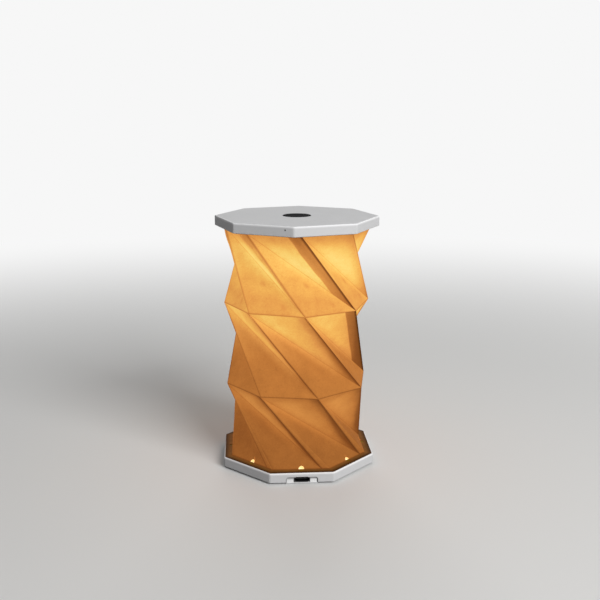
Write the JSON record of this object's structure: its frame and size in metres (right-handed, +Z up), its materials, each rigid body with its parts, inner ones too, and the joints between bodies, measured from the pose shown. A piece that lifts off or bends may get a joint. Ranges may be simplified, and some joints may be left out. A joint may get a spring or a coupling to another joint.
{
  "type": "pleated paper table lamp",
  "caption": "Folding table lamp: a twist-pleated paper tube between octagonal plates, with a push button in the lid and a charging socket in the base.",
  "frame": {"origin": "on the table under the lamp's middle, at the feet's lower faces", "axes": "+Z up, the charging socket faces -Y, +X to the right seen from the front"},
  "size_m": [0.0924, 0.0924, 0.1434],
  "materials": {
    "white_plastic": "fine matt moulded texture",
    "cover_plastic": "matt moulded",
    "inner_plastic": "smooth, reflects the light down",
    "screw_steel": "zinc plated",
    "foot_rubber": "matt",
    "grommet_rubber": "matt",
    "socket_steel": "dark nickel",
    "tongue_plastic": "moulded",
    "charge_board_green": "solder mask",
    "chip_plastic": "moulded",
    "battery_foil": "dull foil pouch",
    "tape": "foam tape",
    "margin_paper": "uncoated, warm brown in the lamp's own light",
    "shade_paper": "uncoated heavy paper, lit from inside",
    "lead_sheath": "smooth sheath",
    "diffuser_plastic": "frosted",
    "led_board_white": "white solder mask",
    "led_window": "phosphor window",
    "indicator_window": "small chip",
    "pipe_acrylic": "clear rod",
    "switch_plastic": "moulded",
    "plunger_plastic": "moulded",
    "button_plastic": "satin black"
  },
  "bodies": {
    "base": {"base_shell": "white_plastic", "base_cover": "cover_plastic", "base_cover_screws": "screw_steel", "rubber_feet": "foot_rubber", "usb_socket_shell": "socket_steel", "usb_socket_tongue": "tongue_plastic", "charge_board": "charge_board_green", "charge_chips": "chip_plastic", "battery": "battery_foil", "battery_tape": "tape", "lead_grommet": "grommet_rubber", "foot_collar": "margin_paper"},
    "shade": {"pleated_shade": "shade_paper", "lamp_lead": "lead_sheath"},
    "lid": {"lid_shell": "white_plastic", "lid_plate": "inner_plastic", "lid_plate_screws": "screw_steel", "head_collar": "margin_paper", "diffuser": "diffuser_plastic", "led_board": "led_board_white", "led_board_screws": "screw_steel", "leds": "led_window", "indicator_led": "indicator_window", "indicator_pipe": "pipe_acrylic", "switch_body": "switch_plastic"},
    "button": {"power_button": "button_plastic", "switch_plunger": "plunger_plastic"}
  },
  "joints": [
    {"name": "fold", "type": "slide", "parent": "base", "child": "shade", "axis": [0, 0, -1], "range_m": [0, 0.122], "deforming": ["pleated_shade", "lamp_lead"]},
    {"name": "twist", "type": "hinge", "parent": "shade", "child": "lid", "pos_m": [0, 0, 0.1376], "axis": [0, 0, -1], "range_deg": [0, 107]},
    {"name": "press", "type": "slide", "parent": "lid", "child": "button", "axis": [0, 0, -1], "range_m": [0, 0.0005], "stiffness_N_per_m": 900}
  ],
  "couplings": [
    {"joint": "twist", "follows": "fold", "rad_per_m": 15.307}
  ]
}
